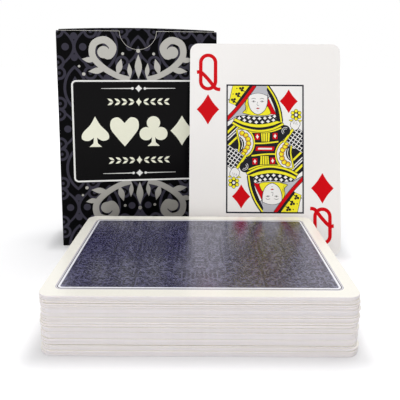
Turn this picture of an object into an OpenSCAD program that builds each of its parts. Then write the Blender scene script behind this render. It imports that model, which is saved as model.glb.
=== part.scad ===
// A deck of plastic playing cards with its folded tuck box.
// The deck lies in a pile, face down. One card leans on the box, which stands behind the pile.
// The origin is the middle of the pile's underside: X runs along the cards' long side,
// Y away from the player and Z up. All sizes are in millimetres.

/* [Cards] */
// Short side of a card
card_w = 63; // [57:0.5:70]
// Long side of a card
card_l = 88; // [82:0.5:96]
// Thickness of a card
card_t = 0.32; // [0.26:0.01:0.38]
// Radius of a card's corners
card_corner_r = 3.5; // [2:0.1:6]

/* [Pile] */
// Air between neighbouring cards
card_gap = 0.012; // [0.01:0.002:0.03]
// Furthest that a card lies out of the pile's line, each way
stray = 0.28; // [0.05:0.01:0.5]
// Furthest that a card is turned out of square, in degrees
stray_turn = 0.18; // [0:0.02:0.4]
// How far a proud card sticks out of the pile's right end
proud_by = 0.55; // [0.1:0.05:1]
// How far a sunken card is pushed back from the pile's front
sunk_by = 0.7; // [0.1:0.05:1]

/* [Leaning card] */
// Angle at which the card leans back
lean = 9.9; // [5:0.1:14]
// Middle of the card, to the right of the pile's middle
lean_x = 27; // [18:0.2:32]
// Room between the pile's back edge and the card's foot
foot_gap = 2.9; // [1.5:0.1:8]
// Gap between the card's top left corner and the box
lean_gap = 0.3; // [0.1:0.05:0.6]

/* [Box] */
// Middle of the box, to the right of the pile's middle
box_x = -26.1; // [-34:0.1:-18]
// Turn of the box that brings its left end nearer to the player, in degrees
box_turn = 7.4; // [0:0.1:12]
// Thickness of the board
board_t = 0.45; // [0.3:0.05:0.6]
// Outer radius of the folds that run up the box
fold_r = 0.8; // [0.7:0.05:1.5]
// Play beside the cards, at each side
side_play = 1; // [0.5:0.1:2]
// Room above the cards, under the dust flaps
head_play = 2.2; // [1:0.1:5]
// Play in front of the cards
deck_play = 0.35; // [0.2:0.05:1]
// Reach of the seam flap that is glued inside the left panel
seam_l = 15; // [10:0.5:18]
// Air at a crease between two panels that fold
crease_gap = 0.05; // [0.03:0.01:0.08]
// Radius of the thumb notch in the front panel
notch_r = 7.6; // [5:0.1:9]

/* [Closure] */
// How far the lid's ends stay inside the box's sides
lid_inset = 1; // [0.5:0.1:2]
// Rise of the lid's front edge at its middle
lid_crown = 0.8; // [0.3:0.05:1.2]
// Depth of the tuck tab
tab_h = 11; // [9.5:0.5:12]
// How far the tab's ends stay inside the lid's ends
tab_inset = 1.5; // [1:0.1:4]
// Radius of the tab's lower corners
tab_corner_r = 7; // [3:0.5:9]
// Room between the front panel and the tab
tab_gap = 0.9; // [0.85:0.05:1.4]
// Reach of a dust flap from its crease
flap_l = 13; // [9:0.5:14]
// Setback of a dust flap's front edge from the tab
flap_front_gap = 0.8; // [0.6:0.1:2]
// Setback of a dust flap's back edge from the back panel
flap_back_gap = 0.8; // [0.6:0.1:2]
// Slant of a dust flap's front edge, which clears the tab as it swings out
flap_front_taper = 0.25; // [0.2:0.05:0.35]
// Slant of a dust flap's back edge, which stays under the lid as both rise
flap_back_taper = 0.46; // [0.44:0.02:0.5]
// Corner cut off a dust flap's tip
flap_nick = 2; // [0.5:0.1:3]
// Height of the floor's tab behind the front panel
floor_tab_h = 12; // [8:0.5:16]
// Reach of the floor's glued dust flaps
floor_flap_l = 16; // [10:0.5:20]

/* [Hidden] */
$fn = 64;

suits = ["spades", "diamonds", "clubs", "hearts"];
ranks = ["ace", "two", "three", "four", "five", "six", "seven", "eight", "nine", "ten",
    "jack", "queen", "king"];
jokers = ["first_joker", "second_joker"];
leaning_card = "queen_of_diamonds";
deck = concat(jokers, [for (suit = suits) for (rank = ranks) str(rank, "_of_", suit)]);
pile = [for (name = deck) if (name != leaning_card) name];
box_nodes = ["box_sleeve", "box_floor", "box_lid", "box_tuck_tab",
    "box_left_dust_flap", "box_right_dust_flap"];

// The pile, counted from its lowest card: how each card strays, and the few that show at its edges.
card_step = card_t + card_gap;
side_strays = rands(-1, 1, len(pile), 21);
front_strays = rands(-1, 1, len(pile), 34);
turns = rands(-1, 1, len(pile), 55);
proud_cards = [7, 32, 39];
sunken_card = 9;

// The leaning card stands on its back lower edge. The round of its top left corner comes nearest
// to the turned box, and sets where the middle of the box's front face is.
foot_y = card_w / 2 + foot_gap + card_t;
corner_x = lean_x - card_w / 2 + card_corner_r;
corner_up = card_l - card_corner_r;
corner_reach = card_corner_r * norm([sin(lean), tan(box_turn)]);
touch_y = foot_y + corner_up * sin(lean) + corner_reach;
box_y = touch_y + lean_gap - (corner_x - box_x) * tan(box_turn);

// The box holds the whole deck, with the tab in front of it. The glued seam makes its left wall
// two boards thick, for as far as the seam flap reaches from the back.
seam_t = 2 * board_t;
deck_t = len(deck) * card_t + (len(deck) - 1) * card_gap;
room_w = card_w + 2 * side_play;
room_d = tab_gap + board_t + deck_play + deck_t;
box_w = seam_t + room_w + board_t;
box_d = room_d + 2 * board_t;
room_mid_x = (seam_t - board_t) / 2;
floor_t = 2 * board_t;
wall_h = floor_t + card_l + head_play;
flap_z = wall_h + crease_gap;
box_h = flap_z + board_t + crease_gap;

// The lid lies on the front and back panels, with its front edge over the tab's outer face.
lid_w = box_w - 2 * lid_inset;
lid_z = box_h + crease_gap;
lid_front_y = board_t + tab_gap;
crown_r = (pow(lid_w / 2, 2) + pow(lid_crown, 2)) / (2 * lid_crown);
crown_steps = 24;
crown_facets = 720;
tab_w = lid_w - 2 * tab_inset;

// A dust flap lies between the tab and the back panel.
flap_front_y = lid_front_y + board_t + flap_front_gap;
flap_back_y = box_d - board_t - flap_back_gap;

// A small overlap that lets one cut run clear through another face
cut = 1;

// A flat plate with four round corners, centred.
module round_plate(l, w, r) {
    square([l - 2 * r, w], center = true);
    square([l, w - 2 * r], center = true);
    for (sx = [-1, 1])
        for (sy = [-1, 1])
            translate([sx * (l / 2 - r), sy * (w / 2 - r)])
                circle(r);
}

// One card lying flat, with its long side along X.
module card_blank() {
    linear_extrude(card_t)
        round_plate(card_l, card_w, card_corner_r);
}

// The card at place i of the pile, counted from the lowest one.
module pile_card(i) {
    is_proud = len(search(i, proud_cards)) > 0;
    place_x = i == 0 ? 0 : (is_proud ? proud_by : stray * side_strays[i]);
    place_y = i == 0 ? 0 : (i == sunken_card ? sunk_by : stray * front_strays[i]);
    color("ivory")
        translate([place_x, place_y, i * card_step])
            rotate(i == 0 ? 0 : stray_turn * turns[i])
                card_blank();
}

// The court card that leans back against the box, long side up and face to the front.
module queen_of_diamonds() {
    color("ivory")
        translate([lean_x, foot_y, 0])
            rotate([-lean, 0, 0])
                translate([0, 0, card_l / 2])
                    rotate([90, 0, 0])
                        linear_extrude(card_t)
                            round_plate(card_w, card_l, card_corner_r);
}

// Puts a piece drawn in the box's own frame, with its front face at y = 0 and its middle at x = 0,
// where the box stands.
module in_box() {
    translate([box_x, box_y, 0])
        rotate(box_turn)
            children();
}

// Front, back and side panels in one folded tube, closed by the seam flap inside the left panel.
// The side panels stop under the dust flaps.
module box_sleeve() {
    color("#1c1c20")
        in_box()
            difference() {
                linear_extrude(box_h)
                    difference() {
                        translate([0, box_d / 2])
                            round_plate(box_w, box_d, fold_r);
                        translate([room_mid_x - room_w / 2, board_t])
                            square([room_w, room_d]);
                        translate([board_t - box_w / 2, board_t])
                            square([seam_t, room_d - seam_l]);
                    }
                translate([-box_w / 2 - cut, board_t, wall_h])
                    cube([box_w + 2 * cut, room_d, box_h]);
                translate([0, board_t + cut / 2, box_h])
                    rotate([90, 0, 0])
                        cylinder(r = notch_r, h = board_t + cut);
            }
}

// The glued floor: a panel, two glued dust flaps on it, and a tab up the front panel's inside.
module box_floor() {
    panel_w = room_w - 2 * crease_gap;
    panel_d = room_d - 2 * crease_gap;
    color("#26262c")
        in_box()
            translate([room_mid_x - panel_w / 2, board_t + crease_gap, 0]) {
                cube([panel_w, panel_d, board_t]);
                cube([panel_w, board_t, floor_tab_h]);
                for (flap_x = [0, panel_w - floor_flap_l])
                    translate([flap_x, 0, board_t])
                        cube([floor_flap_l, panel_d, floor_t - board_t]);
            }
}

// Rise of the lid's front edge at a place x along it, on an arc.
function crown_at(x) = sqrt(pow(crown_r, 2) - pow(x, 2)) - crown_r + lid_crown;

// The lid: straight along the back crease, and bowed up along its front edge.
module box_lid() {
    xs = [for (i = [0 : crown_steps]) lid_w * (i / crown_steps - 0.5)];
    points = [for (x = xs) each [
        [x, box_d, lid_z],
        [x, box_d, lid_z + board_t],
        [x, lid_front_y, lid_z + crown_at(x) + board_t],
        [x, lid_front_y, lid_z + crown_at(x)]
    ]];
    last = 4 * crown_steps;
    sides = [for (i = [0 : crown_steps - 1]) for (k = [0 : 3]) each [
        [4 * i + k, 4 * i + (k + 1) % 4, 4 * i + 4 + (k + 1) % 4],
        [4 * i + k, 4 * i + 4 + (k + 1) % 4, 4 * i + 4 + k]
    ]];
    ends = [[2, 1, 0], [3, 2, 0], [last, last + 1, last + 2], [last, last + 2, last + 3]];
    color("#1c1c20")
        in_box()
            polyhedron(points, concat(sides, ends));
}

// The tuck tab's outline, from its lower edge at y = 0 up to the lid's bow.
module tab_outline() {
    intersection() {
        translate([0, tab_h + lid_crown - crown_r])
            circle(crown_r, $fn = crown_facets);
        union() {
            translate([-tab_w / 2, tab_corner_r])
                square([tab_w, tab_h + lid_crown - tab_corner_r]);
            translate([-tab_w / 2 + tab_corner_r, 0])
                square([tab_w - 2 * tab_corner_r, tab_h]);
            for (sx = [-1, 1])
                translate([sx * (tab_w / 2 - tab_corner_r), tab_corner_r])
                    circle(tab_corner_r);
        }
    }
}

// The tuck tab, folded down from the lid's front edge behind the front panel.
module box_tuck_tab() {
    color("#26262c")
        in_box()
            translate([0, lid_front_y + board_t, box_h - tab_h])
                rotate([90, 0, 0])
                    linear_extrude(board_t)
                        tab_outline();
}

// A dust flap's outline, from its crease at x = 0 to its tip.
module flap_outline() {
    tip_front_y = flap_front_y + flap_front_taper * flap_l;
    tip_back_y = flap_back_y - flap_back_taper * flap_l;
    polygon([
        [0, flap_front_y],
        [flap_l - flap_nick, tip_front_y - flap_front_taper * flap_nick],
        [flap_l, tip_front_y + flap_nick],
        [flap_l, tip_back_y - flap_nick],
        [flap_l - flap_nick, tip_back_y + flap_back_taper * flap_nick],
        [0, flap_back_y]
    ]);
}

// The dust flap on the left side panel.
module box_left_dust_flap() {
    color("#26262c")
        in_box()
            translate([-box_w / 2, 0, flap_z])
                linear_extrude(board_t)
                    flap_outline();
}

// The dust flap on the right side panel.
module box_right_dust_flap() {
    color("#26262c")
        in_box()
            translate([box_w / 2, 0, flap_z])
                linear_extrude(board_t)
                    mirror([1, 0])
                        flap_outline();
}

box_sleeve();
box_floor();
box_lid();
box_tuck_tab();
box_left_dust_flap();
box_right_dust_flap();
queen_of_diamonds();
for (i = [0 : len(pile) - 1])
    pile_card(i);
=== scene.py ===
from math import ceil, cos, hypot, pi, radians, sin, sqrt

import bmesh
import bpy
import numpy as np
from mathutils import Matrix, Vector
from mathutils.geometry import delaunay_2d_cdt


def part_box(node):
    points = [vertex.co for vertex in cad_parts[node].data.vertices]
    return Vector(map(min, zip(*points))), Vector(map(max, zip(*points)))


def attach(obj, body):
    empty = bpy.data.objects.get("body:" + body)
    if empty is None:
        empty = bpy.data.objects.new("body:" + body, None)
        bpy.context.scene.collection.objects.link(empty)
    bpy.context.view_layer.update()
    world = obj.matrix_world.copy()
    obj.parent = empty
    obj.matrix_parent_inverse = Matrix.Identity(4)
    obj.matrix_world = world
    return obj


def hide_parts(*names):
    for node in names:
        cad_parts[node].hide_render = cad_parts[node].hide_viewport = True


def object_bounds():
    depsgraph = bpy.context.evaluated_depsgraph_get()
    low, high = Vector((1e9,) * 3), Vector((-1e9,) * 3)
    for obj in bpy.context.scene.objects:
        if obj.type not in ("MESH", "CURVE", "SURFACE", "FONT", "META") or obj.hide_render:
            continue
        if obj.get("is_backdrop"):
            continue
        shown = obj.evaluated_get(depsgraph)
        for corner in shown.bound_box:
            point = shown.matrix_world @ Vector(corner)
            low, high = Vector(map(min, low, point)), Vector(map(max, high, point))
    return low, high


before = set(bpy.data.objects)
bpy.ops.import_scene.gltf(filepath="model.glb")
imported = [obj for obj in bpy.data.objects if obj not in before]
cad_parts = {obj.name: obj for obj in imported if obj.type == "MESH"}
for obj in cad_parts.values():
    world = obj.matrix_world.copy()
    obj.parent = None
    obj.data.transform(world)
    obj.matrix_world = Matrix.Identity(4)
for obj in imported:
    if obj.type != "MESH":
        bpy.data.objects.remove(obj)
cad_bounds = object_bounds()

# The studio: a pale floor in a white surround, two large soft lamps, one in front of the deck and one
# above it, and the camera low in front of the pile. None of it belongs to the deck.
MM = 0.001


def add(tree, kind, inputs=None, **settings):
    """Adds a node with its settings, and gives its inputs values or links."""
    node = tree.nodes.new(kind)
    for name, value in settings.items():
        setattr(node, name, value)
    for name, value in (inputs or {}).items():
        if isinstance(value, bpy.types.NodeSocket):
            tree.links.new(value, node.inputs[name])
        else:
            node.inputs[name].default_value = value
    return node


class Wire:
    """A value in a node tree. Arithmetic on it adds the nodes that work it out."""

    def __init__(self, tree, socket):
        self.tree, self.socket = tree, socket

    def math(self, operation, *others, clamp=False):
        values = [w.socket if isinstance(w, Wire) else w for w in (self, *others)]
        node = add(self.tree, "ShaderNodeMath", dict(enumerate(values)), operation=operation,
                   use_clamp=clamp)
        return Wire(self.tree, node.outputs[0])

    def __add__(self, other):
        return self.math("ADD", other)

    def __sub__(self, other):
        return self.math("SUBTRACT", other)

    def __mul__(self, other):
        return self.math("MULTIPLY", other)

    def __abs__(self):
        return self.math("ABSOLUTE")

    def repeat(self, pitch):
        """The distance from the middle of the pitch that the value is in."""
        return self.math("WRAP", pitch / 2, -pitch / 2)

    def far(self, other):
        """The length of the vector of the two values."""
        return (self * self + other * other).math("SQRT")

    def nearer(self, other):
        """The smaller of two values."""
        return self.math("MINIMUM", other)

    def further(self, other):
        """The larger of two values."""
        return self.math("MAXIMUM", other)

    def fill(self, blur):
        """1 inside the outline that a distance is measured from, 0 outside, soft over the blur."""
        return (self * (-1 / blur)).math("ADD", 0.5, clamp=True)


def parts_of(tree, vector):
    """The three parts of a vector, as values to reckon with."""
    return [Wire(tree, part) for part in add(tree, "ShaderNodeSeparateXYZ", {0: vector}).outputs]


def clean_tree(owner):
    """The node tree of a world or a material, with nothing in it yet."""
    owner.use_nodes = True
    owner.node_tree.nodes.clear()
    return owner.node_tree


def seen_directly(tree):
    """1 for what the camera, a reflection or clear plastic shows, and 0 for light on the deck."""
    path = add(tree, "ShaderNodeLightPath").outputs
    camera_ray, glossy_ray, clear_ray = (Wire(tree, path[f"Is {ray} Ray"])
                                         for ray in ("Camera", "Glossy", "Transmission"))
    return camera_ray.further(glossy_ray).further(clear_ray)


scene = bpy.context.scene
scene.view_settings.view_transform = "Standard"
pure_white, surround_light = (1, 1, 1, 1), 0.56
world = bpy.data.worlds.new("white_surround")
scene.world = world
tree = clean_tree(world)
strength = add(tree, "ShaderNodeMapRange", {"Value": seen_directly(tree).socket, "To Min": surround_light,
                                            "To Max": 1.0}).outputs[0]
surround = add(tree, "ShaderNodeBackground", {"Color": pure_white, "Strength": strength})
add(tree, "ShaderNodeOutputWorld", {"Surface": surround.outputs[0]})


def clear_of(node, x, y):
    """How far a place on the floor is from a node's footprint."""
    low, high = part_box(node)
    out_x = (x - high.x).further(x * -1 + low.x).further(0)
    out_y = (y - high.y).further(y * -1 + low.y).further(0)
    return out_x.far(out_y)


def rising(distance, start, end, rise):
    """0 up to a first distance, and the whole rise from a second one on."""
    slope = add(distance.tree, "ShaderNodeMapRange", {"Value": distance.socket, "From Min": start,
                                                      "From Max": end, "To Max": rise},
                interpolation_type="SMOOTHSTEP")
    return Wire(distance.tree, slope.outputs[0])


def set_out(name, data):
    """A new object in the scene, for a mesh, a lamp or the camera."""
    thing = bpy.data.objects.new(name, data)
    scene.collection.objects.link(thing)
    return thing


floor_half, floor_drop, floor_paper = 3.0, 0.02 * MM, (0.86, 0.86, 0.87, 1)
# painted shade: the floor's glow, seen by the camera and in reflections, is nothing on each piece's
# footprint and rises over shade_reach and again far out, so the floor is darker round the pieces than their
# real shadows alone make it
shade_reach, shade_lift, far_start, far_end, far_lift = 7.5 * MM, 0.2, 0.02, 0.3, 0.45
floor_mesh = bpy.data.meshes.new("studio_floor")
floor_mesh.from_pydata([(x, y, -floor_drop) for x, y in ((-1, -1), (1, -1), (1, 1), (-1, 1))], [],
                       [(0, 1, 2, 3)])
floor_mesh.transform(Matrix.Diagonal((floor_half, floor_half, 1, 1)))
floor_finish = bpy.data.materials.new("pale_floor")
tree = clean_tree(floor_finish)
paper = add(tree, "ShaderNodeBsdfDiffuse", {"Color": floor_paper})
spot_x, spot_y, _ = parts_of(tree, add(tree, "ShaderNodeTexCoord").outputs["Object"])
pile_clear, card_clear, box_clear = (clear_of(node, spot_x, spot_y)
                                     for node in ("first_joker", "queen_of_diamonds", "box_sleeve"))
clear = pile_clear.nearer(card_clear).nearer(box_clear)
# painted shade round the pieces, over their real shadows: the glow is held back near each footprint
lift_leaving_painted_shade = rising(clear, 0, shade_reach, shade_lift) + rising(clear, far_start, far_end, far_lift)
glow_strength = (seen_directly(tree) * lift_leaving_painted_shade).socket
glow_leaving_painted_shade = add(tree, "ShaderNodeEmission", {"Color": pure_white, "Strength": glow_strength})
lit = add(tree, "ShaderNodeAddShader", {0: paper.outputs[0], 1: glow_leaving_painted_shade.outputs[0]})
add(tree, "ShaderNodeOutputMaterial", {"Surface": lit.outputs[0]})
floor_mesh.materials.append(floor_finish)
studio_floor = set_out("studio_floor", floor_mesh)
studio_floor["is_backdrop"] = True

for name, place, aim, size, power in (
        ("soft_box_front", (-0.3, -0.95, 0.55), (0, 0, 0.04), 0.9, 4.6),
        ("soft_box_above", (0.15, 0.25, 1.2), (0, 0, 0), 1.0, 6.2)):
    lamp = bpy.data.lights.new(name, "AREA")
    lamp.shape, lamp.size, lamp.energy = "DISK", size, power
    holder = set_out(name, lamp)
    holder.location = place
    holder.rotation_euler = (Vector(aim) - Vector(place)).to_track_quat("-Z", "Y").to_euler()

camera_place, camera_dip, camera_roll = (-0.00019, -0.14834, 0.08124), 8.0, 0.342
camera = bpy.data.cameras.new("camera")
camera.sensor_width, camera.lens, camera.shift_y = 36, 41.77, -0.195
camera.clip_start = 0.005
eye = set_out("camera", camera)
eye.matrix_world = (Matrix.Translation(camera_place) @ Matrix.Rotation(radians(90 - camera_dip), 4, "X")
                    @ Matrix.Rotation(radians(camera_roll), 4, "Z"))
scene.camera = eye


# The box's sleeve: one sheet of coated board, printed, die cut, creased and folded round the deck.
# Left panel, front, right panel and back follow each other, and a seam flap is glued inside the
# left panel. The cut edges show the white core, and the inside is plain.
board_t, fold_r, cut_bevel = 0.45, 0.8, 0.12
seam_reach, seam_slant, notch_r, panel_drop = 15.0, 4.0, 7.6, 0.55
box_w, box_d, box_turn = 66.35, 20.516, 7.4
box_low, box_high = (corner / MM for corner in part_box("box_sleeve"))
box_mid, box_h = (box_low + box_high) / 2, box_high.z
box_frame = (Matrix.Translation((box_mid.x, box_mid.y, 0)) @ Matrix.Rotation(radians(box_turn), 4, "Z")
             @ Matrix.Translation((0, -box_d / 2, 0)))


def in_box(x, y, z):
    """Where a place counted from the middle of the front's lower edge is, with the box turned."""
    return box_frame @ Vector((x, y, z))


def group(name, inputs, outputs, tree_kind="ShaderNodeTree"):
    """A node group with named sockets, and the sockets of its input and output nodes."""
    tree = bpy.data.node_groups.new(name, tree_kind)
    for way, sockets in (("INPUT", inputs), ("OUTPUT", outputs)):
        for label, kind in sockets.items():
            tree.interface.new_socket(label, in_out=way, socket_type=kind)
    return tree, tree.nodes.new("NodeGroupInput").outputs, tree.nodes.new("NodeGroupOutput").inputs


def damask_group():
    """The box's ground pattern: an ogee net with a pointed lens, ringlets and dots in each mesh."""
    pitch_x, pitch_y, line, net_slope, blur = 26.0, 34.0, 0.55, 0.86, 0.16
    lens_w, lens_h, core_inset = 4.2, 8.8, 2.6
    ringlet_x, ringlet_y, ringlet_r, eye_r = 6.7, 10.7, 2.3, 0.7
    berry_x, berry_r, seed_y, seed_r = 9.5, 1.5, 12.6, 1.4
    lens_r = (lens_w ** 2 + lens_h ** 2) / (2 * lens_w)
    tree, given, result = group("damask", {"Sheet": "NodeSocketVector"}, {"Print": "NodeSocketFloat"})
    sheet_x, sheet_y, _ = parts_of(tree, given["Sheet"])
    total = None
    for drop in (0, 0.5):
        x = abs((sheet_x + drop * pitch_x).repeat(pitch_x))
        y = abs((sheet_y + drop * pitch_y).repeat(pitch_y))
        swing = (y * (2 * pi / pitch_y)).math("COSINE")
        net = abs(x - (swing + 1) * (pitch_x / 4)) * net_slope - line
        lens = (x + (lens_r - lens_w)).far(y) - lens_r
        eye_far = (x - ringlet_x).far(y - ringlet_y)
        rim, core = abs(lens) - line, lens + core_inset
        ringlet, eye_dot = abs(eye_far - ringlet_r) - line, eye_far - eye_r
        berry, seed = (x - berry_x).far(y) - berry_r, x.far(y - seed_y) - seed_r
        motif = net.nearer(rim).nearer(core).nearer(ringlet).nearer(eye_dot).nearer(berry).nearer(seed)
        total = motif if total is None else total.nearer(motif)
    tree.links.new(total.fill(blur).socket, result["Print"])
    return tree


def speckle_group():
    """The fine unevenness of a print or of bare board: a tone about 1, and a height for a bump."""
    tree, given, result = group("speckle", {"Place": "NodeSocketVector", "Size": "NodeSocketFloat",
                                            "Depth": "NodeSocketFloat"},
                                {"Tone": "NodeSocketFloat", "Height": "NodeSocketFloat"})
    grain_scale = add(tree, "ShaderNodeMath", {0: 1.0, 1: given["Size"]}, operation="DIVIDE").outputs[0]
    grain = add(tree, "ShaderNodeTexNoise", {"Vector": given["Place"], "Scale": grain_scale,
                                             "Detail": 3.0, "Roughness": 0.6}).outputs["Fac"]
    tone = (Wire(tree, grain) - 0.5) * Wire(tree, given["Depth"]) + 1
    tree.links.new(tone.socket, result["Tone"])
    tree.links.new(grain, result["Height"])
    return tree


damask, speckle = damask_group(), speckle_group()


def linear(r, g, b):
    """A colour read as it shows on a screen, from 0 to 255, as the renderer counts light."""
    return tuple(c / 3294.6 if c <= 10 else ((c / 255 + 0.055) / 1.055) ** 2.4 for c in (r, g, b)) + (1,)


def finish(name, roughness, specular, metallic=0.0):
    """A material with its shader, and the tree to build its colour in."""
    material = bpy.data.materials.new(name)
    tree = clean_tree(material)
    shader = add(tree, "ShaderNodeBsdfPrincipled", {"Roughness": roughness, "Metallic": metallic,
                                                    "Specular IOR Level": specular})
    add(tree, "ShaderNodeOutputMaterial", {"Surface": shader.outputs[0]})
    return material, tree, shader


def on_sheet(tree):
    """The place on the flat sheet that a piece carries, in millimetres."""
    return add(tree, "ShaderNodeAttribute", attribute_name="flat_mm").outputs["Vector"]


def speckled(tree, shader, colour, place, size, depth, tooth=0):
    """Gives a shader a colour, plain or worked out, with the speckle on it in tone and in height."""
    spots = add(tree, "ShaderNodeGroup", {"Place": place, "Size": size, "Depth": depth},
                node_tree=speckle).outputs
    plain = colour[:3] if isinstance(colour, tuple) else colour
    tone = add(tree, "ShaderNodeVectorMath", {0: plain, "Scale": spots["Tone"]}, operation="SCALE")
    tree.links.new(tone.outputs["Vector"], shader.inputs["Base Color"])
    if tooth:
        grain = add(tree, "ShaderNodeBump", {"Height": spots["Height"], "Distance": tooth * MM})
        tree.links.new(grain.outputs[0], shader.inputs["Normal"])


def mixed(tree, mask, below, above):
    """One colour where the mask is 0, and the other where it is 1."""
    return add(tree, "ShaderNodeMix", {0: mask, 6: below, 7: above}, data_type="RGBA").outputs[2]


print_black, print_slate, board_white = linear(4, 4, 5), linear(58, 56, 67), linear(214, 211, 203)


def damask_print(tree, sheet):
    """The colour of the print at a place on the sheet: black, with the damask in slate."""
    pattern = add(tree, "ShaderNodeGroup", {"Sheet": sheet}, node_tree=damask).outputs["Print"]
    return mixed(tree, pattern, print_black, print_slate)


def printed_board_finish():
    """The board's printed side, under a thin varnish."""
    material, tree, shader = finish("printed_board", roughness=0.34, specular=0.03)
    sheet = on_sheet(tree)
    speckled(tree, shader, damask_print(tree, sheet), sheet, size=0.5, depth=0.25, tooth=0.004)
    return material


def bare_board_finish():
    """The board's white core and its unprinted inside, with a little fibre."""
    material, tree, shader = finish("bare_board", roughness=0.85, specular=0.2)
    place = add(tree, "ShaderNodeTexCoord").outputs["Object"]
    speckled(tree, shader, board_white, place, size=0.6 * MM, depth=0.12, tooth=0.01)
    return material


printed_board, bare_board = printed_board_finish(), bare_board_finish()


def arc(cx, cy, r, start, end, facet=12):
    """Points on a circle, from one angle to another, in degrees."""
    steps = max(2, ceil(abs(end - start) / facet))
    turns = [radians(start + (end - start) * i / steps) for i in range(steps + 1)]
    return [(cx + r * cos(t), cy + r * sin(t)) for t in turns]


def bevel_ring(outline, folded):
    """The outline moved in by the bevel, apart from the edges where the board goes on in a fold."""
    ring, widths, ways, straight = [], [], [], 0.02
    for i, (x, y) in enumerate(outline):
        bx, by = outline[(i + 1) % len(outline)]
        length = hypot(bx - x, by - y)
        ways.append(((bx - x) / length, (by - y) / length))
        widths.append(0 if folded((x + bx) / 2, (y + by) / 2) else cut_bevel)
    for i, (x, y) in enumerate(outline):
        (ax, ay), (bx, by) = ways[i - 1], ways[i]
        turn = ax * by - ay * bx
        if abs(turn) < straight:
            ring.append((x - by * widths[i], y + bx * widths[i]))
        else:
            ring.append((x + (widths[i - 1] * bx - widths[i] * ax) / turn,
                         y + (widths[i - 1] * by - widths[i] * ay) / turn))
    return ring


def thick_sheet(name, flat, faces, materials, place, top_depth, low_depth, top_slot, low_slot, wall_slot):
    """A closed sheet from triangles on the flat: a top and a lower skin, with walls round its rim."""
    ways = {(a, b) for face in faces for a, b in zip(face, face[1:] + face[:1])}
    mesh = bmesh.new()
    flat_mm = mesh.verts.layers.float_vector.new("flat_mm")
    skins = []
    for depth_at in (top_depth, low_depth):
        skin = {}
        for v in sorted({v for face in faces for v in face}):
            u, w = flat[v]
            skin[v] = mesh.verts.new(Vector(place(u, w, depth_at(v))) * MM)
            skin[v][flat_mm] = (u, w, 0)
        skins.append(skin)
    for i, face in enumerate(faces):
        mesh.faces.new([skins[0][v] for v in face]).material_index = top_slot(i)
        mesh.faces.new([skins[1][v] for v in reversed(face)]).material_index = low_slot
    for a, b in sorted(ways):
        if (b, a) not in ways:
            wall = mesh.faces.new([skins[0][b], skins[0][a], skins[1][a], skins[1][b]])
            wall.material_index = wall_slot(a, b)
    bmesh.ops.recalc_face_normals(mesh, faces=mesh.faces)
    data = bpy.data.meshes.new(name)
    mesh.to_mesh(data)
    mesh.free()
    for material in materials:
        data.materials.append(material)
    return set_out(name, data)


def board_piece(name, node, body, outline, creases, place, folded=lambda u, v: False):
    """A piece of printed board: cut to the outline on the flat sheet, counter-clockwise, creased
    along lines, and put where place(u, v, depth) says, with depth counted in from the print."""
    print_slot, core_slot, keep_inside, weld = 0, 1, 1, 1e-5
    count = len(outline)
    flat = [Vector(p) for p in outline + bevel_ring(outline, folded)]
    rings = [list(range(count)), list(range(count, 2 * count))]
    lines = [(len(flat) + 2 * i, len(flat) + 2 * i + 1) for i in range(len(creases))]
    flat += [Vector(p) for crease in creases for p in crease]
    flat, _, faces, _, _, sources = delaunay_2d_cdt(flat, lines, rings, keep_inside, weld)
    inside = [i for i, source in enumerate(sources) if 0 in source]
    faces, inked = [faces[i] for i in inside], [1 in sources[i] for i in inside]
    bevelled = {v for i, face in enumerate(faces) if not inked[i] for v in face}
    bevelled -= {v for i, face in enumerate(faces) if inked[i] for v in face}

    def wall_slot(a, b):
        return print_slot if folded(*((flat[a] + flat[b]) / 2)) else core_slot

    piece = thick_sheet(
        name, flat, faces, (printed_board, bare_board), place,
        top_depth=lambda v: cut_bevel if v in bevelled else 0, low_depth=lambda v: board_t,
        top_slot=lambda i: print_slot if inked[i] else core_slot, low_slot=core_slot,
        wall_slot=wall_slot)
    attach(piece, body)
    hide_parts(node)


wall_h = box_h - panel_drop
fold_arc, fold_steps = pi / 2 * fold_r, 6
edge_back = 0.2
side_run, face_run = box_d - 2 * fold_r, box_w - 2 * fold_r
left_run, back_run = side_run + fold_r - edge_back, face_run - board_t
runs = (left_run, face_run, side_run, back_run, seam_reach)
starts = [sum(runs[:i]) + i * fold_arc for i in range(len(runs))]
sheet_w = starts[-1] + runs[-1]
front_u = starts[1] + face_run / 2


def sleeve_place(u, v, depth):
    """Walks round the folded sleeve from the left panel's back edge, with the deck on the left hand."""
    u += front_u
    x, y, heading = -box_w / 2, box_d - edge_back, Vector((0, -1))
    for run in runs:
        inward = Vector((-heading.y, heading.x))
        at = Vector((x, y))
        if u <= run or run is runs[-1]:
            at = at + heading * u + inward * depth
            return in_box(at.x, at.y, v)
        at += heading * run
        u -= run
        if u <= fold_arc:
            pivot, turn = at + inward * fold_r, u / fold_r
            spoke = (heading * sin(turn) - inward * cos(turn)) * (fold_r - depth)
            return in_box(*(pivot + spoke), v)
        u -= fold_arc
        at += (inward + heading) * fold_r
        x, y, heading = at.x, at.y, inward


fold_cut = fold_arc / 3
left_end, right_start = starts[1] - fold_arc + fold_cut, starts[2] - fold_cut
back_start, back_end = starts[3] - fold_cut, starts[4] - fold_cut
notch = arc(front_u, box_h, notch_r, 0, -180)
sleeve_outline = ([(0, 0), (starts[4], 0), (sheet_w, seam_slant), (sheet_w, wall_h - seam_slant),
                   (starts[4], wall_h), (back_end, wall_h), (back_end, box_h),
                   (back_start, box_h), (back_start, wall_h), (right_start, wall_h),
                   (right_start, box_h)] + notch + [(left_end, box_h), (left_end, wall_h), (0, wall_h)])
sleeve_outline = [(u - front_u, v) for u, v in sleeve_outline]
fold_lines = [start - front_u - fold_arc * (1 - i / fold_steps)
              for start in starts[1:] for i in range(fold_steps + 1)]
board_piece("folded_sleeve", "box_sleeve", "box", sleeve_outline,
            [((u, -1), (u, box_h + 1)) for u in fold_lines], sleeve_place)


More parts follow.
